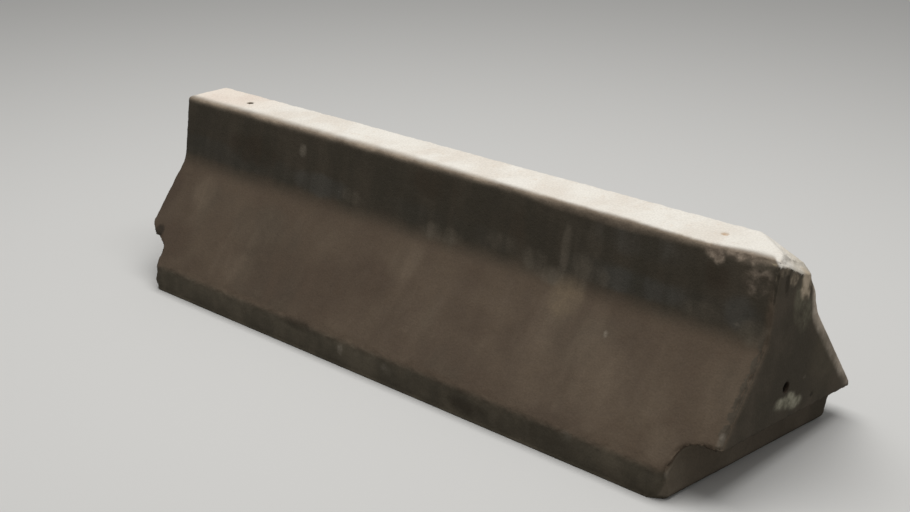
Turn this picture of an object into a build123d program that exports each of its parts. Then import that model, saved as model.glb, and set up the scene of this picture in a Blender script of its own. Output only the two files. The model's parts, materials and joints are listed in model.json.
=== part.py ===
from build123d import *
import os

# Precast concrete road barrier: one solid casting that stands unheld on its flat base.
# X runs along the barrier, -Y is the traffic face and +Z is up. The near end is at +X, the far end at -X.
# The origin is on the ground, under the middle. All sizes are in millimetres.

# Section, from the ground up: an upright toe, a long slope, a battered stem and a flat top
length = 2010
base_width = 650
toe_height = 75
front_neck_height = 330
rear_neck_height = 345
neck_width = 216
top_height = 515
top_width = 150
far_end_lean = 17  # how far the far end leans out from its foot to its top

# Rounding of the cast edges
cove_radius = 100  # hollow where the slope runs into the stem
toe_radius = 24
top_radius = 12
end_radius = 12

# Drain notch at the foot of each end, splayed so that it is widest in the traffic face.
# Two barriers set end to end make one whole drain of their two notches.
notch_depth_front = 98
notch_height_front = 142
notch_radius_front = 45
notch_depth_back = 25
notch_height_back = 80
notch_radius_back = 14
notch_foot_radius = 18  # rounding of the foot where the notch meets the ground

# Sockets: two in the top for screw-in lifting eyes, one in each end for a dowel to the next barrier
lifting_socket_diameter = 16
lifting_socket_depth = 60
lifting_socket_from_end = 185
dowel_socket_diameter = 24
dowel_socket_depth = 150
dowel_socket_height = 193

# Damage. Each facet of a break is a plane that meets the three edges of a corner,
# and its sizes are how far it reaches along the barrier, across it and up or down it.
rear_top_break = [(141, 119, 62), (76, 151, 81), (16, 80, 150)]
front_top_break = [(165, 12, 24)]
rear_toe_break = [(150, 85, 207)]
front_foot_break = [(44, 24, 70)]
far_lip_break = [(38, 120, 40)]

overshoot = 20  # how far cutting solids stand out of the concrete
touch = 0.01  # how near to a face a point has to be to count as on it
near_x = length / 2
far_x = far_end_lean - length / 2  # the far end's foot


def section():
    """The barrier's cross-section. Its two faces differ only in the height of the neck."""
    outline = []
    for side, neck_height in ((-1, front_neck_height), (1, rear_neck_height)):
        face = [
            (side * base_width / 2, 0),
            (side * base_width / 2, toe_height),
            (side * neck_width / 2, neck_height),
            (side * top_width / 2, top_height),
        ]
        outline += face if side < 0 else reversed(face)
    flat = Plane.YZ * make_face(Polyline(*outline, close=True))
    for corner_height, radius in (
        (toe_height, toe_radius),
        (front_neck_height, cove_radius),
        (rear_neck_height, cove_radius),
        (top_height, top_radius),
    ):
        corners = [v for v in flat.vertices() if abs(v.Z - corner_height) < touch]
        if corners:
            flat = fillet(corners, radius)
    return flat


def far_end_x(height):
    """Where the leaning face of the far end stands at a height above the ground."""
    return far_x - far_end_lean * height / top_height


def casting():
    """The whole barrier as it left its mould, with its end edges rounded and its base edges sharp."""
    block = extrude(section(), amount=length / 2, both=True)
    outward = Vector(-top_height, 0, -far_end_lean)
    far_face = Plane(origin=(far_x, 0, 0), x_dir=(0, 1, 0), z_dir=outward)
    block = block - far_face * Box(length, length, length / 4, align=(Align.CENTER, Align.CENTER, Align.MIN))
    end_edges = []
    for edge in block.edges():
        middle = edge.center()
        on_end = abs(middle.X - near_x) < touch or abs(middle.X - far_end_x(middle.Z)) < touch
        if on_end and middle.Z > touch:
            end_edges.append(edge)
    return fillet(end_edges, end_radius)


def notch_profile(y, share):
    """The notch's outline in the plane at y, with share 0 at the traffic face and 1 at the rear face."""
    depth = notch_depth_front + share * (notch_depth_back - notch_depth_front)
    rise = notch_height_front + share * (notch_height_back - notch_height_front)
    radius = notch_radius_front + share * (notch_radius_back - notch_radius_front)
    inner, outer = near_x - depth, near_x + overshoot
    foot = notch_foot_radius
    outline = [
        Line((outer, -overshoot), (inner - foot, -overshoot)),
        Line((inner - foot, -overshoot), (inner - foot, 0)),
        RadiusArc((inner - foot, 0), (inner, foot), -foot),
        Line((inner, foot), (inner, rise - radius)),
        RadiusArc((inner, rise - radius), (inner + radius, rise), radius),
        Line((inner + radius, rise), (outer, rise)),
        Line((outer, rise), (outer, -overshoot)),
    ]
    plane = Plane(origin=(0, y, 0), x_dir=(1, 0, 0), z_dir=(0, -1, 0))
    return plane * make_face(outline)


def drain_notches():
    """The splayed notch at the near end and its mirror image at the foot of the far end."""
    past = overshoot / base_width
    front = notch_profile(-base_width / 2 - overshoot, -past)
    back = notch_profile(base_width / 2 + overshoot, 1 + past)
    notch = loft([front, back], ruled=True)
    return [notch, Pos(far_x + near_x, 0, 0) * mirror(notch, Plane.YZ)]


def sockets():
    """Round blind holes: lifting sockets down into the top, dowel sockets into the ends."""
    lifting = Cylinder(lifting_socket_diameter / 2, lifting_socket_depth + overshoot)
    dowel = Cylinder(dowel_socket_diameter / 2, dowel_socket_depth + overshoot, rotation=(0, 90, 0))
    lifting_z = top_height + (overshoot - lifting_socket_depth) / 2
    dowel_inset = (dowel_socket_depth - overshoot) / 2
    holes = []
    for inward, foot_x, face_x in ((-1, near_x, near_x), (1, far_x, far_end_x(dowel_socket_height))):
        holes.append(Pos(foot_x + inward * lifting_socket_from_end, 0, lifting_z) * lifting)
        holes.append(Pos(face_x + inward * dowel_inset, 0, dowel_socket_height) * dowel)
    return holes


def break_cutters(corner, inward, facets, zone):
    """What lies outside each facet of a broken corner, kept within zone so that no other face is touched."""
    cutters = []
    for reaches in facets:
        points = []
        for i in range(3):
            offset = [0, 0, 0]
            offset[i] = inward[i] * reaches[i]
            points.append(Vector(*corner) + Vector(*offset))
        outward = (points[1] - points[0]).cross(points[2] - points[0]).normalized()
        if outward.dot(Vector(*corner) - points[0]) < 0:
            outward = -outward
        facet = Plane(origin=points[0], x_dir=points[1] - points[0], z_dir=outward)
        slab = facet * Box(length, length, length, align=(Align.CENTER, Align.CENTER, Align.MIN))
        cutters.append(slab & zone)
    return cutters


def breaks():
    """The broken corners: the top and both toes of the near end, and the lip over the far end's notch."""
    half_top, half_base = top_width / 2, base_width / 2
    slope_run = (half_base - neck_width / 2) / (front_neck_height - toe_height)
    lip_y = half_base - slope_run * (notch_height_front - toe_height)
    foot_x = near_x - notch_depth_front
    stem_zone = Pos(near_x, 0, front_neck_height) * Box(
        length / 2, base_width, top_height, align=(Align.CENTER, Align.CENTER, Align.MIN)
    )
    rear_zone = Pos(near_x, half_base, 0) * Box(length / 2, base_width, 2 * notch_height_back)
    front_zone = Pos(near_x, -half_base, 0) * Box(length / 2, base_width, 2 * toe_height)
    lip_zone = Pos(far_x, -half_base, notch_height_front - notch_radius_front) * Box(
        length / 2, base_width, top_height, align=(Align.CENTER, Align.CENTER, Align.MIN)
    )
    lip = (far_end_x(notch_height_front), -lip_y, notch_height_front)
    return (
        break_cutters((near_x, half_top, top_height), (-1, -1, -1), rear_top_break, stem_zone)
        + break_cutters((near_x, -half_top, top_height), (-1, 1, -1), front_top_break, stem_zone)
        + break_cutters((near_x, half_base, 0), (-1, -1, 1), rear_toe_break, rear_zone)
        + break_cutters((foot_x, -half_base, 0), (-1, 1, 1), front_foot_break, front_zone)
        + break_cutters(lip, (1, 1, 1), far_lip_break, lip_zone)
    )


barrier = casting()
for cut in drain_notches() + sockets() + breaks():
    barrier = barrier - cut

os.makedirs("parts", exist_ok=True)
export_step(barrier, "parts/barrier.step")
print("barrier volume", round(barrier.volume / 1e9, 4), "cubic metres", barrier.bounding_box())
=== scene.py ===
import json
import math

import bmesh
import bpy
import numpy as np
from mathutils import Matrix, Vector


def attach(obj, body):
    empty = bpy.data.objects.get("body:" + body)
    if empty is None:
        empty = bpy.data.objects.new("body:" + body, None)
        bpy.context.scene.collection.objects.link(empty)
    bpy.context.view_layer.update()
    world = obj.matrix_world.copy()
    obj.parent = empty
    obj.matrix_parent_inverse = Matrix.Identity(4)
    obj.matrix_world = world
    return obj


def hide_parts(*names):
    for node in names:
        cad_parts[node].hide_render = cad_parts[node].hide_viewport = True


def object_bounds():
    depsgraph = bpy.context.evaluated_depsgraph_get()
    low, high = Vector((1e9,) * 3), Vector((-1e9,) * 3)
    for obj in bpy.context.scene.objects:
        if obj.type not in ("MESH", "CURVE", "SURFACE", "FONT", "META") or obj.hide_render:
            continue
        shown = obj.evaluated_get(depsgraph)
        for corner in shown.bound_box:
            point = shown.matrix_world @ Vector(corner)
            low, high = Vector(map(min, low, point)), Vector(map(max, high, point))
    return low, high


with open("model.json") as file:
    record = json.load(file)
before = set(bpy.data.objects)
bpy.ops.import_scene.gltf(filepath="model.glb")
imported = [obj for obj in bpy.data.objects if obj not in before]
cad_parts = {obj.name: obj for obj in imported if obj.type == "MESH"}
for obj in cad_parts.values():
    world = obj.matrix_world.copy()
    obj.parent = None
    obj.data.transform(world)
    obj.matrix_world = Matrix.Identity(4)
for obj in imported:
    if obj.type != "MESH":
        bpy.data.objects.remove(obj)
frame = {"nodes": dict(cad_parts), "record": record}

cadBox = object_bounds()  # the CAD model's own box
print("stage: frame loaded")


def hexToLinear(code):
    parts = [int(code[i:i + 2], 16) / 255 for i in (1, 3, 5)]
    return tuple(c / 12.92 if c <= 0.04045 else ((c + 0.055) / 1.055) ** 2.4 for c in parts) + (1.0,)


def addNode(tree, kind, settings={}, links={}, take=None):
    node = tree.nodes.new(kind)
    for name, value in settings.items():
        setattr(node, name, value)
    for name, value in links.items():
        socket = [s for s in node.inputs if name in (s.identifier, s.name) and not s.is_unavailable][0]
        if isinstance(value, bpy.types.NodeSocket):
            tree.links.new(value, socket)
        else:
            socket.default_value = value
    outs = [s for s in node.outputs if not s.is_unavailable]
    named = [s for s in outs if take in (s.identifier, s.name)]
    return (named or outs or [node])[0]


noiseSpan = (0.3, 0.7)  # nearly all of a noise texture's values lie between these


def smoothStep(low, high, values):
    t = np.clip((values - low) / (high - low), 0, 1)
    return t * t * (3 - 2 * t)


# The cast skin: the barrier's section as it left its mould, in metres
castSkin = {
    "nearEnd": cadBox[1][0],
    "farFoot": -0.988,
    "farLean": 0.017,  # the far end leans out towards its top
    "toeHalf": cadBox[1][1],
    "toeTop": 0.075,
    "neckHalf": 0.108,
    "frontNeckUp": 0.330,
    "rearNeckUp": 0.345,
    "topHalf": 0.075,
    "topUp": cadBox[1][2],
    "notchUp": 0.165,  # just above the drain notches
    "notchFront": (0.098, 0.142, 0.045),  # a notch's depth, rise and corner radius in the traffic face
    "notchBack": (0.025, 0.080, 0.014),  # and the same in the rear face
    "topBreak": ((0.141, 0.119, 0.062), (0.076, 0.151, 0.081)),  # reaches of the top corner's broken facets
}


def skinDistances(points):
    # how far each point lies behind every face of the unbroken casting
    s = castSkin
    x, y, z = points[:, 0], np.abs(points[:, 1]), points[:, 2]
    farEnd = x - s["farFoot"] + s["farLean"] * z / s["topUp"]
    neckUp = np.where(points[:, 1] < 0, s["frontNeckUp"], s["rearNeckUp"])
    sides = []
    for y0, z0, y1, z1 in ((s["neckHalf"], neckUp, s["topHalf"], s["topUp"]),
                           (s["toeHalf"], s["toeTop"], s["neckHalf"], neckUp)):
        sides.append(((z1 - z0) * (y0 - y) + (y0 - y1) * (z0 - z)) / np.hypot(y1 - y0, z1 - z0))
    return {"top": s["topUp"] - z, "toe": s["toeHalf"] - y, "end": np.minimum(s["nearEnd"] - x, farEnd),
            "base": z, "side": np.maximum(np.maximum(*sides), 0)}


def skinDepths(points):
    # depth under the nearest face, and under the second nearest, which is small only along an arris
    ordered = np.sort(np.stack(list(skinDistances(points).values())), axis=0)
    return ordered[0], ordered[1]


def breakDepth(points):
    # how far each point lies under the upper facets of the broken top corner
    s = castSkin
    steepness = 1 / np.array(s["topBreak"])
    fromCorner = np.array([s["nearEnd"], s["topHalf"], s["topUp"]]) - points
    return ((fromCorner @ steepness.T - 1) / np.linalg.norm(steepness, axis=1)).min(axis=1)


def notchDistance(points):
    # how far each point lies outside the drain notch of the nearer end
    s = castSkin
    x, y, z = points.T
    share = ((y + s["toeHalf"]) / (2 * s["toeHalf"]))[:, None]
    deep, rise, radius = ((1 - share) * np.array(s["notchFront"]) + share * np.array(s["notchBack"])).T
    inwards = np.minimum(s["nearEnd"] - x, x - s["farFoot"]) - (deep - radius)
    upwards = z - (rise - radius)
    corner = np.hypot(np.maximum(inwards, 0), np.maximum(upwards, 0))
    return corner + np.minimum(np.maximum(inwards, upwards), 0) - radius


sockets = [m for m in frame["record"]["mounts"] if "r_mm" in m["dims"]]  # the four round holes


# A thin lip of cement along the rear arris of the broken end, painted pale as a highlight where the arris
# catches the light: where it fades in and out, in metres
cementLipAndHighlight = {
    "rear": (0.08, 0.10),
    "aboveToe": (0.075, 0.095),
    "pastNeck": (0.40, 0.43),
    "atEnd": (0.975, 0.990),
    "raised": (0.0064, 0.016),  # how far from the arris it stands out
    "highlighted": (0.001, 0.036),  # and how far it is painted pale as a highlight
}


def lipMask(points, across):
    s = cementLipAndHighlight
    x, y, z = points.T
    along = smoothStep(*s["rear"], y) * smoothStep(*s["aboveToe"], z) * (1 - smoothStep(*s["pastNeck"], z))
    return along * smoothStep(*s["atEnd"], x) * (1 - smoothStep(*across, skinDepths(points)[1]))


def socketMask(points, margin=0.004):
    inside = np.zeros(len(points))
    for mount in sockets:
        offset = points - np.array(mount["pos_m"])
        along = offset @ np.array(mount["axis"], float)
        across = np.sqrt(np.maximum((offset ** 2).sum(1) - along ** 2, 0))
        radius = mount["dims"]["r_mm"] / 1000
        half = mount["dims"]["length_mm"] / 2000
        within = 1 - smoothStep(radius, radius + margin, across)
        inside = np.maximum(inside, within * (np.abs(along) < half))
    return inside


def storeMask(mesh, name, values):
    layer = mesh.attributes.get(name) or mesh.attributes.new(name, "FLOAT", "POINT")
    layer.data.foreach_set("value", np.ascontiguousarray(values, np.float32))


def meshVectors(items, name):
    flat = np.zeros(len(items) * 3, np.float32)
    items.foreach_get(name, flat)
    return flat.reshape(-1, 3).astype(float)


def evaluatedMesh(obj, name):
    bpy.context.view_layer.update()
    graph = bpy.context.evaluated_depsgraph_get()
    mesh = bpy.data.meshes.new_from_object(obj.evaluated_get(graph))
    mesh.name = name
    return mesh


def newObject(name, mesh):
    obj = bpy.data.objects.new(name, mesh)
    bpy.context.scene.collection.objects.link(obj)
    return obj


# What traffic and weather left in single places: centre and reach in metres, and strength
marks = {
    "redMark": [
        ((-0.110, -0.210, 0.210), (0.120, 0.14, 0.075), 0.80),  # reddish road splash on the slope
        ((-0.220, -0.245, 0.165), (0.200, 0.16, 0.100), 0.65),
        ((-0.400, -0.260, 0.150), (0.240, 0.18, 0.110), 0.70),
        ((0.087, -0.292, 0.112), (0.090, 0.10, 0.035), 0.50),
        ((0.384, -0.300, 0.105), (0.110, 0.10, 0.038), 0.55),
        ((-0.985, -0.170, 0.250), (0.060, 0.10, 0.090), 0.80),
        ((-0.880, -0.270, 0.140), (0.120, 0.12, 0.080), 0.85),
        ((-0.740, -0.297, 0.108), (0.080, 0.10, 0.030), 0.60),
        ((0.190, -0.150, 0.280), (0.070, 0.10, 0.045), 0.50),
        ((0.260, -0.215, 0.205), (0.120, 0.10, 0.050), 0.55),
    ],
    "lightMark": [
        ((-0.840, -0.160, 0.270), (0.070, 0.10, 0.060), 0.80),  # drier, paler parts of the slope
        ((-0.575, -0.270, 0.140), (0.085, 0.10, 0.050), 0.90),
        ((-0.590, -0.210, 0.210), (0.060, 0.10, 0.060), 0.60),
        ((-0.020, -0.160, 0.272), (0.075, 0.10, 0.065), 0.90),
        ((-0.318, -0.165, 0.264), (0.060, 0.10, 0.045), 0.75),
        ((0.575, -0.268, 0.142), (0.100, 0.10, 0.060), 0.80),
        ((0.600, -0.200, 0.215), (0.200, 0.12, 0.080), 0.80),
        ((0.520, -0.155, 0.280), (0.130, 0.10, 0.070), 0.80),
        ((0.760, -0.230, 0.187), (0.120, 0.12, 0.080), 0.85),
        ((0.873, -0.288, 0.118), (0.060, 0.10, 0.050), 1.00),
        ((0.930, -0.190, 0.235), (0.070, 0.12, 0.080), 0.80),
        ((0.985, -0.170, 0.260), (0.040, 0.12, 0.100), 1.00),
    ],
    "dampMark": [
        ((-0.684, -0.093, 0.415), (0.130, 0.06, 0.060), 1.00),  # darkest parts of the stem
        ((-0.676, -0.118, 0.322), (0.080, 0.06, 0.030), 0.45),
        ((0.010, -0.085, 0.465), (0.120, 0.06, 0.050), 0.80),
        ((0.300, -0.090, 0.430), (0.110, 0.06, 0.060), 0.55),
        ((0.855, -0.090, 0.450), (0.045, 0.06, 0.040), 0.90),
    ],
    "greyMark": [
        ((-0.400, -0.100, 0.375), (0.150, 0.06, 0.040), 0.90),  # greyer along the foot of the stem
        ((0.660, -0.100, 0.375), (0.170, 0.06, 0.035), 1.00),
        ((0.935, -0.100, 0.385), (0.060, 0.06, 0.050), 0.90),
        ((0.640, -0.083, 0.470), (0.200, 0.06, 0.050), 0.60),
    ],
    "paleMark": [
        ((0.480, -0.130, 0.305), (0.058, 0.10, 0.055), 1.00),  # dried splash under the stem
    ],
    "runMark": [
        ((0.448, -0.095, 0.405), (0.020, 0.06, 0.090), 1.00),  # runs above it and beside it
        ((0.495, -0.100, 0.378), (0.050, 0.06, 0.050), 0.90),
        ((0.362, -0.103, 0.362), (0.050, 0.06, 0.040), 0.90),
        ((0.440, -0.112, 0.338), (0.120, 0.06, 0.028), 0.80),
        ((0.250, -0.100, 0.375), (0.060, 0.06, 0.035), 0.60),
        ((0.540, -0.100, 0.368), (0.060, 0.06, 0.035), 0.70),
        ((0.510, -0.090, 0.435), (0.090, 0.06, 0.070), 0.55),
        ((0.830, -0.102, 0.365), (0.070, 0.06, 0.030), 0.60),
        ((0.970, -0.103, 0.352), (0.045, 0.06, 0.040), 1.00),
        ((0.055, -0.105, 0.350), (0.090, 0.06, 0.032), 0.85),
        ((-0.283, -0.101, 0.370), (0.050, 0.06, 0.030), 0.70),
    ],
    "spotAndHighlightMark": [
        ((0.622, -0.165, 0.263), (0.010, 0.03, 0.010), 0.80),  # small pale knocks
        ((0.925, -0.100, 0.360), (0.014, 0.04, 0.009), 0.60),
        ((-0.484, -0.086, 0.455), (0.020, 0.03, 0.024), 0.85),
        ((-0.103, -0.325, 0.050), (0.012, 0.03, 0.022), 1.00),
        ((0.908, -0.325, 0.066), (0.012, 0.03, 0.016), 0.55),
        ((0.063, -0.325, 0.045), (0.030, 0.03, 0.026), 0.50),
        ((0.637, -0.325, 0.066), (0.030, 0.03, 0.020), 0.50),
        ((0.995, -0.255, 0.158), (0.010, 0.03, 0.026), 0.75),  # painted highlight on the chipped tip over the notch
        ((1.005, 0.083, 0.189), (0.020, 0.008, 0.008), 0.90),
    ],
    "scuffMark": [
        ((1.005, -0.022, 0.160), (0.030, 0.036, 0.018), 0.80),  # rubbed bright under the dowel socket
        ((1.005, 0.015, 0.155), (0.030, 0.036, 0.022), 1.00),
        ((1.005, 0.050, 0.138), (0.030, 0.036, 0.018), 0.80),
    ],
    "oliveMark": [
        ((1.000, 0.028, 0.400), (0.030, 0.034, 0.065), 1.00),  # olive weathering on the end
        ((1.000, 0.062, 0.350), (0.030, 0.042, 0.055), 0.75),
    ],
    "brownMark": [
        ((1.000, 0.170, 0.205), (0.030, 0.085, 0.100), 0.90),  # drier, browner part of the end
    ],
    "browHighlightMark": [
        ((0.560, -0.077, 0.504), (0.300, 0.03, 0.018), 1.00),  # painted highlight just under the top's edge
    ],
    "tanMark": [
        ((1.000, 0.058, 0.428), (0.035, 0.040, 0.045), 1.00),  # weathered fracture on the end, its paler concrete made paler still with painted light
        ((1.005, -0.008, 0.460), (0.030, 0.028, 0.026), 0.70),
        ((1.005, -0.050, 0.490), (0.030, 0.026, 0.018), 0.50),
    ],
    "spallMark": [
        ((0.842, -0.077, 0.501), (0.034, 0.03, 0.020), 1.00),  # lost skin under the top's front edge
        ((0.856, -0.078, 0.492), (0.018, 0.03, 0.022), 0.90),
        ((0.920, -0.076, 0.506), (0.070, 0.03, 0.018), 0.70),
        ((0.960, -0.084, 0.462), (0.055, 0.03, 0.052), 0.45),
    ],
    "darkMarkAndShade": [
        ((1.005, -0.037, 0.455), (0.030, 0.016, 0.045), 0.60),  # painted shade in a strip down the end
        ((1.005, 0.000, 0.193), (0.030, 0.019, 0.019), 0.90),  # painted shade round the dowel socket
        ((1.005, 0.126, 0.129), (0.020, 0.010, 0.010), 0.80),
        ((-0.270, -0.322, 0.070), (0.085, 0.05, 0.024), 0.55),
        ((0.340, -0.325, 0.038), (0.110, 0.04, 0.036), 0.60),
        ((0.420, -0.325, 0.045), (0.380, 0.06, 0.060), 0.42),
        ((0.790, -0.325, 0.020), (0.110, 0.06, 0.040), 0.40),
        ((-0.940, -0.260, 0.150), (0.026, 0.06, 0.022), 0.90),  # painted shadow under the lip of the far notch
    ],
    "rustMark": [
        ((0.820, 0.0, 0.515), (0.014, 0.014, 0.030), 0.80),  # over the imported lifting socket
    ],
}


markFade = (0.35, 1.25)  # shares of a mark's reach between which it fades out


def spotMask(points, spots):
    total = np.zeros(len(points))
    for centre, reach, strength in spots:
        away = np.linalg.norm((points - np.array(centre)) / np.array(reach), axis=1)
        total = np.maximum(total, strength * (1 - smoothStep(*markFade, away)))
    return total


# The weathered block: a fine skin over the CAD solid, worn inwards. Depths and spacings in metres
block = {
    "voxel": 0.004,
    "smoothing": 4,
    "triangles": 190000,
    "mergeWithin": 0.00005,
    "packedDirt": 0.005,  # how far below the top the dirt stands in the socket at the broken end
    "dirtOverlap": 0.002,  # how far the dirt reaches into the concrete round it
    "dirtSides": 24,
    "relief": {  # depth, spacing, detail, roughness, and the mask that keeps it in its place
        "castWave": (0.0016, 0.350, 2.0, 0.50, "offGround"),
        "sandGrain": (0.0006, 0.016, 3.0, 0.60, "offGround"),
        "arrisWear": (0.0030, 0.024, 3.0, 0.60, "arris"),
        "arrisLoss": (0.0075, 0.075, 2.0, 0.50, "rubbed"),
        "fracture": (0.0090, 0.050, 6.0, 0.62, "broken"),
        "notchWear": (0.0090, 0.036, 1.5, 0.50, "notchEdge"),
    },
    "lipHeight": 0.0065,  # cement that stood out at the mould's joint
    "stoneDepth": 0.0040,
    "stoneSpacing": 0.017,
    "chipsPerArea": 900.0,
    "chipSmallest": 0.008,
    "chipLargest": 0.032,
    "chipDepthShare": 0.20,
    "chipRagged": 0.35,
    "chipRaggedSpacing": 0.012,
    "seed": 7,
}


def wearTree():
    tree = bpy.data.node_groups.new("wearConcrete", "GeometryNodeTree")
    ports = {"Geometry": "NodeSocketGeometry", "skin": "NodeSocketMaterial", "seed": "NodeSocketInt"}
    for name, kind in ports.items():
        tree.interface.new_socket(name, in_out="INPUT", socket_type=kind)
    tree.interface.new_socket("Geometry", in_out="OUTPUT", socket_type="NodeSocketGeometry")
    sizes = {name: block[name] for name in block if name.startswith(("lip", "stone", "chip"))}
    for name, relief in block["relief"].items():
        sizes[name + "Depth"], sizes[name + "Spacing"] = relief[:2]
    for name, value in sizes.items():
        socket = tree.interface.new_socket(name, in_out="INPUT", socket_type="NodeSocketFloat")
        socket.default_value = value
    given = {s.name: s for s in tree.nodes.new("NodeGroupInput").outputs}
    place = addNode(tree, "GeometryNodeInputPosition")
    masks = {}
    for name in ("offGround", "arris", "rubbed", "lip", "broken", "notchEdge", "chipping"):
        masks[name] = addNode(tree, "GeometryNodeInputNamedAttribute", {"data_type": "FLOAT"},
                              {"Name": name})

    # Waves, sand, worn arrises and fractures are noise of their own size, each inside its mask
    depth = 0.0
    for name, (_, _, detail, rough, mask) in block["relief"].items():
        perMetre = addNode(tree, "ShaderNodeMath", {"operation": "DIVIDE"},
                           {"Value": 1.0, "Value_001": given[name + "Spacing"]})
        noise = addNode(tree, "ShaderNodeTexNoise", {"noise_dimensions": "4D"},
                        {"Vector": place, "W": given["seed"], "Scale": perMetre, "Detail": detail,
                         "Roughness": rough})
        full = addNode(tree, "ShaderNodeMapRange", {},
                       {"Value": noise, "From Min": noiseSpan[0], "From Max": noiseSpan[1],
                        "To Max": given[name + "Depth"]})
        depth = addNode(tree, "ShaderNodeMath", {"operation": "MULTIPLY_ADD"},
                        {"Value": full, "Value_001": masks[mask], "Value_002": depth})

    # Stones of the mix stand out of the broken faces
    perMetre = addNode(tree, "ShaderNodeMath", {"operation": "DIVIDE"},
                       {"Value": 1.0, "Value_001": given["stoneSpacing"]})
    stone = addNode(tree, "ShaderNodeTexVoronoi", {"feature": "SMOOTH_F1"},
                    {"Vector": place, "Scale": perMetre, "Smoothness": 0.35})
    between = addNode(tree, "ShaderNodeMath", {"operation": "MULTIPLY"},
                      {"Value": stone, "Value_001": given["stoneDepth"]})
    depth = addNode(tree, "ShaderNodeMath", {"operation": "MULTIPLY_ADD"},
                    {"Value": between, "Value_001": masks["broken"], "Value_002": depth})
    lip = addNode(tree, "ShaderNodeMath", {"operation": "MULTIPLY"},
                  {"Value": masks["lip"], "Value_001": given["lipHeight"]})
    inwards = addNode(tree, "ShaderNodeMath", {"operation": "SUBTRACT"}, {"Value": lip, "Value_001": depth})
    relief = addNode(tree, "ShaderNodeVectorMath", {"operation": "SCALE"},
                     {"Vector": addNode(tree, "GeometryNodeInputNormal"), "Scale": inwards})

    # Chips: points scattered along the arrises, each a shallow hollow cut square to the arris
    density = addNode(tree, "ShaderNodeMath", {"operation": "MULTIPLY"},
                      {"Value": masks["chipping"], "Value_001": given["chipsPerArea"]})
    chips = addNode(tree, "GeometryNodeDistributePointsOnFaces", {},
                    {"Mesh": given["Geometry"], "Density": density, "Seed": given["seed"]}, "Points")
    nearest = addNode(tree, "GeometryNodeSampleNearest", {}, {"Geometry": chips})
    size = addNode(tree, "FunctionNodeRandomValue", {"data_type": "FLOAT"},
                   {"Min": given["chipSmallest"], "Max": given["chipLargest"], "Seed": given["seed"]})
    centre = addNode(tree, "GeometryNodeSampleIndex", {"data_type": "FLOAT_VECTOR"},
                     {"Geometry": chips, "Value": place, "Index": nearest})
    facing = addNode(tree, "GeometryNodeSampleIndex", {"data_type": "FLOAT_VECTOR"},
                     {"Geometry": chips, "Value": chips.node.outputs["Normal"], "Index": nearest})
    reach = addNode(tree, "GeometryNodeSampleIndex", {"data_type": "FLOAT"},
                    {"Geometry": chips, "Value": size, "Index": nearest})
    offset = addNode(tree, "ShaderNodeVectorMath", {"operation": "SUBTRACT"},
                     {"Vector": place, "Vector_001": centre})
    level = addNode(tree, "ShaderNodeVectorMath", {"operation": "DOT_PRODUCT"},
                    {"Vector": offset, "Vector_001": facing}, "Value")
    straight = addNode(tree, "ShaderNodeVectorMath", {"operation": "LENGTH"}, {"Vector": offset}, "Value")
    share = addNode(tree, "ShaderNodeMath", {"operation": "DIVIDE"},
                    {"Value": straight, "Value_001": reach})
    perMetre = addNode(tree, "ShaderNodeMath", {"operation": "DIVIDE"},
                       {"Value": 1.0, "Value_001": given["chipRaggedSpacing"]})
    torn = addNode(tree, "ShaderNodeTexNoise", {}, {"Vector": place, "Scale": perMetre, "Detail": 3.0})
    tornBy = addNode(tree, "ShaderNodeMapRange", {},
                     {"Value": torn, "From Min": noiseSpan[0], "From Max": noiseSpan[1],
                      "To Max": given["chipRagged"]})
    away = addNode(tree, "ShaderNodeMath", {"operation": "ADD"}, {"Value": share, "Value_001": tornBy})
    square = addNode(tree, "ShaderNodeMath", {"operation": "MULTIPLY"}, {"Value": away, "Value_001": away})
    bowl = addNode(tree, "ShaderNodeMath", {"operation": "SUBTRACT"}, {"Value": 1.0, "Value_001": square})
    deepest = addNode(tree, "ShaderNodeMath", {"operation": "MULTIPLY"},
                      {"Value": reach, "Value_001": given["chipDepthShare"]})
    sunk = addNode(tree, "ShaderNodeMath", {"operation": "MULTIPLY_ADD"},
                   {"Value": bowl, "Value_001": deepest, "Value_002": level})
    inReach = addNode(tree, "ShaderNodeMath", {"operation": "LESS_THAN"}, {"Value": away, "Value_001": 1.0})
    above = addNode(tree, "ShaderNodeMath", {"operation": "MAXIMUM"}, {"Value": sunk, "Value_001": 0.0})
    gone = addNode(tree, "ShaderNodeMath", {"operation": "MULTIPLY"},
                   {"Value": above, "Value_001": inReach})
    chipInwards = addNode(tree, "ShaderNodeMath", {"operation": "MULTIPLY"},
                          {"Value": gone, "Value_001": -1.0})
    chipped = addNode(tree, "ShaderNodeVectorMath", {"operation": "SCALE"},
                      {"Vector": facing, "Scale": chipInwards})

    told = addNode(tree, "GeometryNodeStoreNamedAttribute", {"data_type": "FLOAT", "domain": "POINT"},
                   {"Geometry": given["Geometry"], "Name": "chipDepth", "Value": gone})
    moveBy = addNode(tree, "ShaderNodeVectorMath", {"operation": "ADD"},
                     {"Vector": relief, "Vector_001": chipped})
    moved = addNode(tree, "GeometryNodeSetPosition", {}, {"Geometry": told, "Offset": moveBy})
    real = addNode(tree, "GeometryNodeRealizeInstances", {}, {"Geometry": moved})
    coated = addNode(tree, "GeometryNodeSetMaterial", {}, {"Geometry": real, "Material": given["skin"]})
    addNode(tree, "NodeGroupOutput", {}, {"Geometry": coated})
    return tree


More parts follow.
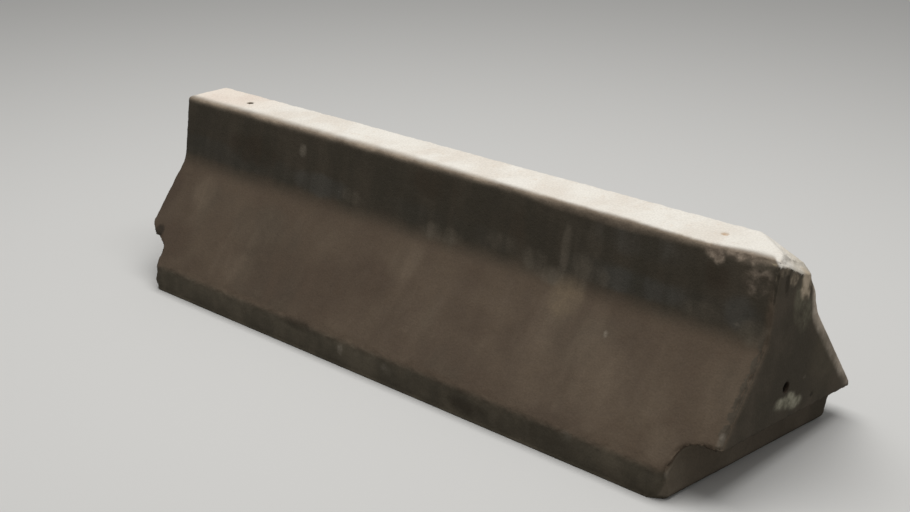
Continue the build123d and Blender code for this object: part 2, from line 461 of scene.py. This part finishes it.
def fineSkin():
    mesh = frame["nodes"]["barrier"].data.copy()
    shape = bmesh.new()
    shape.from_mesh(mesh)
    bmesh.ops.remove_doubles(shape, verts=shape.verts, dist=block["mergeWithin"])
    clogged = [m for m in sockets if m["pos_m"][0] > 0 and m["axis"][2] > 0][0]
    radius = clogged["dims"]["r_mm"] / 1000 + block["dirtOverlap"]
    length = clogged["dims"]["length_mm"] / 1000
    centre = Vector(clogged["pos_m"]) - Vector((0, 0, block["packedDirt"]))
    bmesh.ops.create_cone(shape, cap_ends=True, segments=block["dirtSides"], radius1=radius, radius2=radius,
                          depth=length, matrix=Matrix.Translation(centre))
    shape.to_mesh(mesh)
    shape.free()
    cast = newObject("castFaces", mesh)
    obj = newObject("weatheredBarrier", mesh)
    remesh = obj.modifiers.new("fineSkin", "REMESH")
    remesh.mode = "VOXEL"
    remesh.voxel_size = block["voxel"]
    soften = obj.modifiers.new("soften", "SMOOTH")
    soften.iterations = block["smoothing"]
    pull = obj.modifiers.new("backOnFaces", "SHRINKWRAP")  # undoes what smoothing took off the edges
    pull.target = cast
    fine = evaluatedMesh(obj, "fineSkin")
    obj.modifiers.clear()
    obj.data = fine
    bpy.data.objects.remove(cast)
    bpy.data.meshes.remove(mesh)
    return obj


# Where the wear is: the places, heights and depths, in metres, over which each mask goes from 0 to 1
wearFades = {
    "offGround": (0.0005, 0.006),  # the base stays flat on the ground
    "cut": (0.005, 0.011),
    "aboveNotch": (-0.03, 0.0),  # from notchUp
    "nearEnd": (0.80, 0.97),
    "rear": (-0.02, 0.02),
    "offEdge": (0.004, 0.009),
    "aboveToe": (-0.01, 0.03),  # from toeTop
    "offArris": (0.0, 0.022),
    "offEnd": (0.016, 0.030),
    "torn": (0.004, 0.030),  # shallow where a break runs out into a face
    "offNotchEdge": (0.003, 0.013),
    "upper": (0.46, 0.49),
}
wearShares = {"calmNotch": 0.75, "spall": 0.3, "calmUpper": 0.8, "toeChips": 0.03, "endChips": 0.35}


def storeWear(mesh):
    f = wearFades
    share = wearShares
    points = meshVectors(mesh.vertices, "co")
    x, y, z = points.T
    d = skinDistances(points)
    depth, second = skinDepths(points)
    offGround = smoothStep(*f["offGround"], z)
    cut = smoothStep(*f["cut"], depth) * (1 - socketMask(points))
    inNotch = 1 - smoothStep(*(castSkin["notchUp"] + shift for shift in f["aboveNotch"]), z)
    nearEnd = smoothStep(*f["nearEnd"], x)
    front = 1 - smoothStep(*f["rear"], y)
    lip = lipMask(points, cementLipAndHighlight["raised"])
    arris = offGround * (1 - smoothStep(*f["offArris"], second)) * (1 - cut) * (1 - lip)
    atEnd = 1 - smoothStep(*f["offEnd"], d["end"])

    torn = cut * smoothStep(*f["torn"], depth)
    spall = spotMask(points, marks["spallMark"])
    broken = np.maximum(torn * (1 - share["calmNotch"] * inNotch), share["spall"] * spall)

    underFace = np.minimum(d["side"], d["toe"])
    notchEdge = 1 - smoothStep(*f["offNotchEdge"], np.abs(notchDistance(points)))
    notchEdge = notchEdge * (1 - smoothStep(*f["offNotchEdge"], underFace))

    edge = 1 - smoothStep(*f["offEdge"], second)
    toe = 1 - smoothStep(*(castSkin["toeTop"] + shift for shift in f["aboveToe"]), z)
    calm = 1 - share["calmUpper"] * smoothStep(*f["upper"], z)
    chipping = share["toeChips"] * toe + nearEnd * calm * share["endChips"]

    storeMask(mesh, "offGround", offGround)
    storeMask(mesh, "arris", arris)
    storeMask(mesh, "rubbed", arris * atEnd * nearEnd * front)
    storeMask(mesh, "lip", lip)
    storeMask(mesh, "broken", offGround * broken)
    storeMask(mesh, "notchEdge", offGround * notchEdge * front)
    storeMask(mesh, "chipping", edge * (1 - lip) * chipping)


def weatheredBlock(material):
    obj = fineSkin()
    fine = obj.data
    storeWear(fine)
    wear = obj.modifiers.new("wear", "NODES")
    wear.node_group = wearTree()
    chosen = {"skin": material, "seed": block["seed"]}
    for item in wear.node_group.interface.items_tree:
        if item.in_out == "INPUT" and item.name in chosen:
            wear[item.identifier] = chosen[item.name]
    thin = obj.modifiers.new("fewerFaces", "DECIMATE")
    thin.ratio = min(1.0, block["triangles"] / (2 * len(fine.polygons)))
    worn = evaluatedMesh(obj, "weatheredBarrier")
    obj.modifiers.clear()
    obj.data = worn
    bpy.data.meshes.remove(fine)
    inside = np.clip(meshVectors(worn.vertices, "co"), np.array(cadBox[0]), np.array(cadBox[1]))
    worn.vertices.foreach_set("co", inside.astype(np.float32).ravel())
    worn.materials.clear()
    worn.materials.append(material)
    worn.shade_smooth()
    worn.update()
    return obj


# Where the looks change: the places, heights and depths, in metres, over which each mask goes from 0 to 1.
# Those that end in Facing are shares of a face's normal
lookFades = {
    "aboveNotch": (-0.01, 0.01),  # from notchUp
    "cut": (0.006, 0.013),
    "stem": (0.262, 0.405),
    "aboveToe": (-0.025, 0.020),  # from toeTop
    "underBreak": (0.006, 0.015),
    "breakFacing": (0.10, 0.35),
    "breakUp": (0.38, 0.42),
    "breakDown": (0.0, 0.055),  # the broken corner is greyer further down
    "heldBackNarrows": (-0.2, 0.6),
    "heldBackAtEnd": (0.82, 0.94),
    "underTop": (0.004, 0.010),
    "topFacing": (0.55, 0.92),
    "endFacing": (0.65, 0.95),
    "offEnd": (0.03, 0.04),
    "offWrap": (0.002, 0.036),
    "wrapAlong": (0.9, 0.95),
    "wrapRear": (-0.11, -0.09),
    "wrapUp": (0.10, 0.13),
    "neckUp": (0.31, 0.36),
    "neckPast": (0.39, 0.46),
    "notchRear": (-0.32, 0.08),
    "underBrow": (0.0, 0.022),
    "lipHighlightUp": (0.10, 0.20),
    "offArris": (0.003, 0.026),
    "arrisAlong": (0.94, 0.98),
    "arrisRear": (-0.09, -0.07),
    "offLeft": (-0.95, -0.45),
    "chip": (0.0005, 0.0030),
    "inSocket": (0.003, 0.010),
}
lookShares = {"rearNotch": 0.7, "lowLipHighlight": 0.55, "toeChips": 0.7}
topHeldBack = {  # how far behind the front face the top's painted light fades in, in metres
    "from": -0.004, "fromWide": -0.010,
    "to": 0.018, "toWide": 0.034, "toEnd": 0.034,
}


def storeLooks(mesh):
    f = lookFades
    share = lookShares
    points = meshVectors(mesh.vertices, "co")
    facing = meshVectors(mesh.vertex_normals, "vector")
    x, y, z = points.T
    d = skinDistances(points)
    depth, second = skinDepths(points)
    socket = socketMask(points)
    low = 1 - smoothStep(*(castSkin["notchUp"] + shift for shift in f["aboveNotch"]), z)
    cut = smoothStep(*f["cut"], depth) * (1 - socket)
    chip = np.zeros(len(points), np.float32)
    mesh.attributes["chipDepth"].data.foreach_get("value", chip)
    stem = smoothStep(*f["stem"], z)
    toe = 1 - smoothStep(*(castSkin["toeTop"] + shift for shift in f["aboveToe"]), z)

    # The top is pale where it faces up, as are the upper facets of the broken corner: paler concrete, made
    # near white with painted light from above
    topBreak = 1 - smoothStep(*f["underBreak"], breakDepth(points))
    topBreak = topBreak * smoothStep(*f["breakFacing"], facing[:, 2]) * smoothStep(*f["breakUp"], z)
    wide = 1 - smoothStep(*f["heldBackNarrows"], x)
    heldBackFrom = topHeldBack["from"] + topHeldBack["fromWide"] * wide
    heldBackTo = topHeldBack["to"] + topHeldBack["toWide"] * wide + topHeldBack["toEnd"] * smoothStep(*f["heldBackAtEnd"], x)
    flat = (1 - smoothStep(*f["underTop"], d["top"])) * smoothStep(*f["topFacing"], facing[:, 2])
    flat = flat * np.where(y < 0, smoothStep(heldBackFrom, heldBackTo, d["side"]), 1)
    top = np.maximum(flat, topBreak)

    ends = smoothStep(*f["endFacing"], np.abs(facing[:, 0])) * (1 - smoothStep(*f["offEnd"], d["end"]))
    # the slope darkens raggedly next to the end
    wrap = (1 - smoothStep(*f["offWrap"], d["end"])) * smoothStep(*f["wrapAlong"], x)
    wrap = wrap * (1 - smoothStep(*f["wrapRear"], y)) * smoothStep(*f["wrapUp"], z) * (1 - ends)
    arris = (1 - smoothStep(*f["offArris"], second)) * smoothStep(*f["arrisAlong"], x)
    lip = lipMask(points, cementLipAndHighlight["highlighted"])
    zones = {
        "zoneSlope": (1 - stem) * (1 - toe),
        # the stem, darker than the slope: partly stained and partly painted shade
        "zoneStemPaintedShade": stem,
        "zoneNeck": smoothStep(*f["neckUp"], z) * (1 - smoothStep(*f["neckPast"], z)),
        "zoneToe": toe,
        "zoneEnd": np.maximum(ends, low * cut),
        # painted light in the drain notch, paler to lift its shade, less of it towards the rear
        "zoneNotchPaintedLight": low * cut * (1 - share["rearNotch"] * smoothStep(*f["notchRear"], y)),
        # painted highlight along the rounded top arrises
        "zoneBrowHighlight": 1 - smoothStep(*f["underBrow"], d["top"]),
        # painted highlight on the lip along the rear arris of the broken end, stronger higher up
        "zoneLipHighlight": lip * (share["lowLipHighlight"] + (1 - share["lowLipHighlight"]) * smoothStep(*f["lipHighlightUp"], z)),
        "zoneArris": arris * (1 - smoothStep(*f["arrisRear"], y)),
        "zoneWrap": wrap,
        # painted light: the top, near white where it faces up
        "zoneTopPaintedLight": top,
        "zoneLeft": top * (1 - smoothStep(*f["offLeft"], x)),
        "zoneTopBreak": topBreak * smoothStep(*f["breakDown"], d["top"]),
        "zoneBreak": cut * (1 - low) * (1 - top),
        "zoneChip": smoothStep(*f["chip"], chip) * (1 - share["toeChips"] * toe),
        # painted shade inside the socket holes
        "zoneSocketShade": socket * smoothStep(*f["inSocket"], depth),
    }
    for name, values in zones.items():
        storeMask(mesh, name, values)
    for name, spots in marks.items():
        storeMask(mesh, name, spotMask(points, spots))


# Precast concrete, cast in a steel mould and left outdoors for years: a matt, sandy, mottled skin.
# The eye sees a pale top made near white with painted light, a dark stem and toe, the stem partly stained
# and partly painted shade, brown road splash on the slope and paler breaks
concrete = {
    "patterns": {  # size in mm, how far it is drawn out down the faces, detail, roughness, shift
        "drift": (420, 1.6, 2.0, 0.50, 0.0),
        "tint": (260, 1.8, 3.0, 0.50, 7.0),
        "blotch": (110, 1.6, 4.0, 0.55, 3.0),
        "streak": (60, 3.5, 4.0, 0.55, 5.0),
        "cloud": (26, 1.0, 4.0, 0.60, 0.0),
        "grit": (5, 1.0, 2.0, 0.50, 0.0),
    },
    "slope": ("#504337", "#675949"),
    "layers": [  # zone, ragged edge (pattern, width, from, to), cover, two tones and what mottles them
        ("zoneSlope", ("drift", 2.0, 0.98, 1.30), 0.50, ("#5A4D40", "#695B4C"), ("blotch", 0.35, 0.65)),
        ("zoneSlope", ("streak", 2.0, 1.05, 1.40), 0.25, ("#685A4C", "#716353"), ("blotch", 0.35, 0.65)),
        ("zoneSlope", ("tint", 2.0, 1.00, 1.30), 0.40, ("#4F473B", "#5D5447"), ("cloud", 0.35, 0.65)),
        ("redMark", ("streak", 2.0, 0.10, 1.20), 0.85, ("#473A2F", "#544639"), ("streak", 0.35, 0.65)),
        ("lightMark", ("streak", 2.0, 0.15, 1.25), 0.60, ("#66594A", "#6F6151"), ("streak", 0.35, 0.65)),
        # the stem's darker tone: partly stain and partly painted shade
        ("zoneStemPaintedShade", ("blotch", 1.1, 0.20, 0.80), 1.00, ("#453F34", "#50483C"), ("streak", 0.34, 0.70)),
        ("zoneNeck", ("tint", 1.4, 0.80, 1.20), 0.35, ("#47463F", "#504F49"), ("streak", 0.34, 0.70)),
        ("greyMark", ("streak", 3.0, 0.20, 1.10), 0.68, ("#4D4B45", "#58554E"), ("streak", 0.34, 0.70)),
        ("dampMark", ("streak", 3.0, 0.20, 1.10), 0.68, ("#3C3428", "#443A2E"), ("streak", 0.34, 0.70)),
        ("zoneToe", ("cloud", 0.8, 0.15, 0.85), 1.00, ("#585144", "#6B6253"), ("blotch", 0.38, 0.66)),
        ("zoneEnd", ("cloud", 0.4, 0.30, 0.70), 1.00, ("#554E42", "#675D50"), ("blotch", 0.38, 0.66)),
        ("zoneArris", ("cloud", 1.0, 0.10, 1.00), 0.60, ("#6A5B4C", "#786857"), ("blotch", 0.38, 0.66)),
        ("zoneWrap", ("cloud", 2.4, 0.48, 0.66), 0.90, ("#4E473C", "#5C5347"), ("blotch", 0.38, 0.66)),
        # painted light: the notch is paler to lift its shade
        ("zoneNotchPaintedLight", ("cloud", 0.5, 0.00, 1.00), 1.00, ("#766B5C", "#897E6E"), ("blotch", 0.38, 0.66)),
        # painted highlight along the rounded top arrises
        ("zoneBrowHighlight", ("blotch", 0.7, 0.00, 1.00), 0.90, ("#857767", "#998A78"), ("blotch", 0.38, 0.66)),
        # painted highlight on the rear arris of the broken end
        ("zoneLipHighlight", ("cloud", 0.8, 0.10, 0.90), 1.00, ("#CDBEAB", "#DED0BE"), ("cloud", 0.38, 0.66)),
        # painted light: the top and the broken corner's upper facets are near white, pinker towards the far
        # end
        ("zoneTopPaintedLight", ("cloud", 0.3, 0.05, 0.95), 1.00, ("#E9E4DA", "#E0D8CC"), ("blotch", 0.40, 0.68)),
        ("zoneTopPaintedLight", ("cloud", 2.0, 1.15, 1.45), 0.40, ("#CFC0AC", "#D8C9B8"), ("cloud", 0.40, 0.66)),
        ("zoneLeft", ("tint", 0.8, 0.30, 1.00), 0.60, ("#EADBCB", "#E6D5C6"), ("blotch", 0.40, 0.66)),
        ("zoneTopBreak", ("cloud", 1.2, 0.20, 1.00), 0.80, ("#C4BBAA", "#D8D0C1"), ("cloud", 0.40, 0.66)),
        ("zoneBreak", ("cloud", 0.6, 0.30, 0.70), 1.00, ("#8A7D6B", "#A6987F"), ("cloud", 0.36, 0.66)),
        ("zoneChip", ("cloud", 0.7, 0.35, 0.70), 0.50, ("#6B5C4E", "#786959"), ("cloud", 0.36, 0.66)),
        # painted highlight under the top's front edge
        ("browHighlightMark", ("blotch", 1.4, 0.20, 1.20), 0.65, ("#716456", "#827464"), ("cloud", 0.38, 0.66)),
        ("brownMark", ("blotch", 2.0, 0.00, 1.10), 0.85, ("#696050", "#756B5A"), ("cloud", 0.36, 0.66)),
        ("oliveMark", ("cloud", 2.5, 0.10, 1.10), 0.85, ("#706B5A", "#827C69"), ("cloud", 0.36, 0.66)),
        # paler fracture on the end, partly painted light
        ("tanMark", ("cloud", 2.5, 0.15, 1.00), 0.95, ("#BFAE95", "#DBC9B0"), ("cloud", 0.36, 0.66)),
        ("spallMark", ("cloud", 2.4, 0.15, 1.05), 0.92, ("#7A6C5E", "#A39382"), ("cloud", 0.40, 0.66)),
        ("runMark", ("streak", 3.0, 0.20, 1.10), 0.75, ("#635B4E", "#6D6457"), ("cloud", 0.36, 0.66)),
        ("paleMark", ("streak", 2.0, 0.10, 1.20), 0.80, ("#6E604E", "#786955"), ("cloud", 0.36, 0.66)),
        # small pale knocks, and a painted highlight on the tip over the notch
        ("spotAndHighlightMark", ("cloud", 1.2, 0.20, 1.10), 0.65, ("#857C6D", "#9A9184"), ("cloud", 0.36, 0.66)),
        ("scuffMark", ("cloud", 2.5, 0.05, 1.20), 0.92, ("#A39F8A", "#BAB5A0"), ("cloud", 0.36, 0.66)),
        # dark stains on the toe, and painted shade on the end, round the dowel socket and under the far
        # notch's lip
        ("darkMarkAndShade", ("cloud", 0.8, 0.20, 0.80), 0.80, ("#2E281F", "#3A3227"), ("cloud", 0.36, 0.66)),
        # painted shade inside the socket holes
        ("zoneSocketShade", ("cloud", 0.2, 0.30, 0.70), 1.00, ("#2B2620", "#3A322A"), ("cloud", 0.36, 0.66)),
        ("rustMark", ("cloud", 1.0, 0.30, 0.90), 0.80, ("#C9A57E", "#D9BC98"), ("cloud", 0.36, 0.66)),
    ],
    "gritTone": (0.92, 1.07),
    "roughness": (0.84, 0.97),
    "specular": 0.3,
    "bumpHeight": 0.003,
    "bumpStrength": 0.4,
    "bumpGrit": 0.5,  # share of the grit beside the coarser cloud
}


def weatheredConcrete():
    material = bpy.data.materials.new("weatheredPrecastConcrete")
    material.use_nodes = True
    tree = material.node_tree
    tree.nodes.clear()
    place = addNode(tree, "ShaderNodeTexCoord", {}, {}, "Object")
    pattern = {}
    for name, (size, drawn, detail, rough, shift) in concrete["patterns"].items():
        run = addNode(tree, "ShaderNodeMapping", {},
                      {"Vector": place, "Location": (shift, shift, shift),
                       "Scale": (1, 1 / drawn, 1 / drawn)})
        pattern[name] = addNode(tree, "ShaderNodeTexNoise", {},
                                {"Vector": run, "Scale": 1000 / size, "Detail": detail, "Roughness": rough})
    tones = [hexToLinear(code) for code in concrete["slope"]]
    colour = addNode(tree, "ShaderNodeMix", {"data_type": "RGBA"},
                     {"Factor_Float": pattern["blotch"], "A_Color": tones[0], "B_Color": tones[1]},
                     "Result_Color")
    for zone, (ragged, width, edgeFrom, edgeTo), cover, codes, (mottle, low, high) in concrete["layers"]:
        tones = [hexToLinear(code) for code in codes]
        inZone = addNode(tree, "ShaderNodeAttribute", {"attribute_name": zone}, {}, "Fac")
        torn = addNode(tree, "ShaderNodeMath", {"operation": "MULTIPLY_ADD"},
                       {"Value": pattern[ragged], "Value_001": width, "Value_002": 1 - width / 2})
        pushed = addNode(tree, "ShaderNodeMath", {"operation": "MULTIPLY"},
                         {"Value": torn, "Value_001": inZone})
        covered = addNode(tree, "ShaderNodeMapRange", {"interpolation_type": "SMOOTHSTEP"},
                          {"Value": pushed, "From Min": edgeFrom, "From Max": edgeTo, "To Max": cover})
        mottled = addNode(tree, "ShaderNodeMapRange", {"interpolation_type": "SMOOTHSTEP"},
                          {"Value": pattern[mottle], "From Min": low, "From Max": high})
        tint = addNode(tree, "ShaderNodeMix", {"data_type": "RGBA"},
                       {"Factor_Float": mottled, "A_Color": tones[0], "B_Color": tones[1]}, "Result_Color")
        colour = addNode(tree, "ShaderNodeMix", {"data_type": "RGBA"},
                         {"Factor_Float": covered, "A_Color": colour, "B_Color": tint}, "Result_Color")
    sandTone = addNode(tree, "ShaderNodeMapRange", {},
                       {"Value": pattern["grit"], "From Min": noiseSpan[0], "From Max": noiseSpan[1],
                        "To Min": concrete["gritTone"][0], "To Max": concrete["gritTone"][1]})
    sanded = addNode(tree, "ShaderNodeVectorMath", {"operation": "SCALE"},
                     {"Vector": colour, "Scale": sandTone})
    height = addNode(tree, "ShaderNodeMath", {"operation": "MULTIPLY_ADD"},
                     {"Value": pattern["grit"], "Value_001": concrete["bumpGrit"],
                      "Value_002": pattern["cloud"]})
    bump = addNode(tree, "ShaderNodeBump", {},
                   {"Height": height, "Distance": concrete["bumpHeight"],
                    "Strength": concrete["bumpStrength"]})
    rough = addNode(tree, "ShaderNodeMapRange", {},
                    {"Value": pattern["cloud"], "From Min": noiseSpan[0], "From Max": noiseSpan[1],
                     "To Min": concrete["roughness"][0], "To Max": concrete["roughness"][1]})
    surface = addNode(tree, "ShaderNodeBsdfPrincipled", {},
                      {"Base Color": sanded, "Roughness": rough, "Normal": bump,
                       "Specular IOR Level": concrete["specular"]})
    addNode(tree, "ShaderNodeOutputMaterial", {}, {"Surface": surface})
    return material


barrier = weatheredBlock(weatheredConcrete())
storeLooks(barrier.data)
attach(barrier, "root")
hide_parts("barrier")
print("stage: weathered block,", len(barrier.data.polygons), "faces")


# Pale studio floor, dimmer to everything but the camera so that it throws little light back
studio = {
    "floorHalf": 30.0,
    "floorSeen": "#D9D8D5",
    "floorFelt": "#8C8B88",
    "overhead": 170.0,  # watts
    "overheadSize": (5.0, 3.2),
    "overheadUp": 4.6,
    "air": "#FFFFFF",
    "airStrength": 0.30,
}


def studioSet():
    ground = bpy.data.meshes.new("studioFloor")
    far = studio["floorHalf"]
    ground.from_pydata([(-far, -far, 0), (far, -far, 0), (far, far, 0), (-far, far, 0)], [], [(0, 1, 2, 3)])
    floor = newObject("studioFloor", ground)
    paint = bpy.data.materials.new("mattStudioPaint")
    paint.use_nodes = True
    tree = paint.node_tree
    tree.nodes.clear()
    seen = addNode(tree, "ShaderNodeLightPath", {}, {}, "Is Camera Ray")
    shade = addNode(tree, "ShaderNodeMix", {"data_type": "RGBA"},
                    {"Factor_Float": seen, "A_Color": hexToLinear(studio["floorFelt"]),
                     "B_Color": hexToLinear(studio["floorSeen"])}, "Result_Color")
    matt = addNode(tree, "ShaderNodeBsdfDiffuse", {}, {"Color": shade})
    addNode(tree, "ShaderNodeOutputMaterial", {}, {"Surface": matt})
    ground.materials.append(paint)
    lamp = bpy.data.lights.new("overheadSoftbox", "AREA")
    lamp.shape = "RECTANGLE"
    lamp.size, lamp.size_y = studio["overheadSize"]
    lamp.energy = studio["overhead"]
    softbox = bpy.data.objects.new("overheadSoftbox", lamp)
    softbox.location = (0.0, 0.0, studio["overheadUp"])
    bpy.context.scene.collection.objects.link(softbox)
    world = bpy.data.worlds.new("studioAir")
    world.use_nodes = True
    air = world.node_tree.nodes["Background"].inputs
    air["Color"].default_value = hexToLinear(studio["air"])
    air["Strength"].default_value = studio["airStrength"]
    bpy.context.scene.world = world


# The camera stands where the barrier's straight edges say it stood
photoView = {
    "place": (2.3594, -2.6069, 1.6381),  # metres
    "yaw": 47.951,  # degrees off -X towards +Y
    "pitch": 21.647,  # degrees down
    "focal": 1422.1,  # pixels
    "imageWidth": 910,  # pixels
    "sensor": 36.0,  # mm
}


def photoCamera():
    lens = bpy.data.cameras.new("photoCamera")
    lens.sensor_width = photoView["sensor"]
    lens.lens = lens.sensor_width * photoView["focal"] / photoView["imageWidth"]
    camera = bpy.data.objects.new("photoCamera", lens)
    yaw, pitch = math.radians(photoView["yaw"]), math.radians(photoView["pitch"])
    ahead = Vector((-math.cos(yaw) * math.cos(pitch), math.sin(yaw) * math.cos(pitch), -math.sin(pitch)))
    camera.location = photoView["place"]
    camera.rotation_euler = ahead.to_track_quat("-Z", "Y").to_euler()
    bpy.context.scene.collection.objects.link(camera)
    bpy.context.scene.camera = camera


studioSet()
photoCamera()
bpy.context.scene.view_settings.view_transform = "Standard"
print("stage: studio and camera")
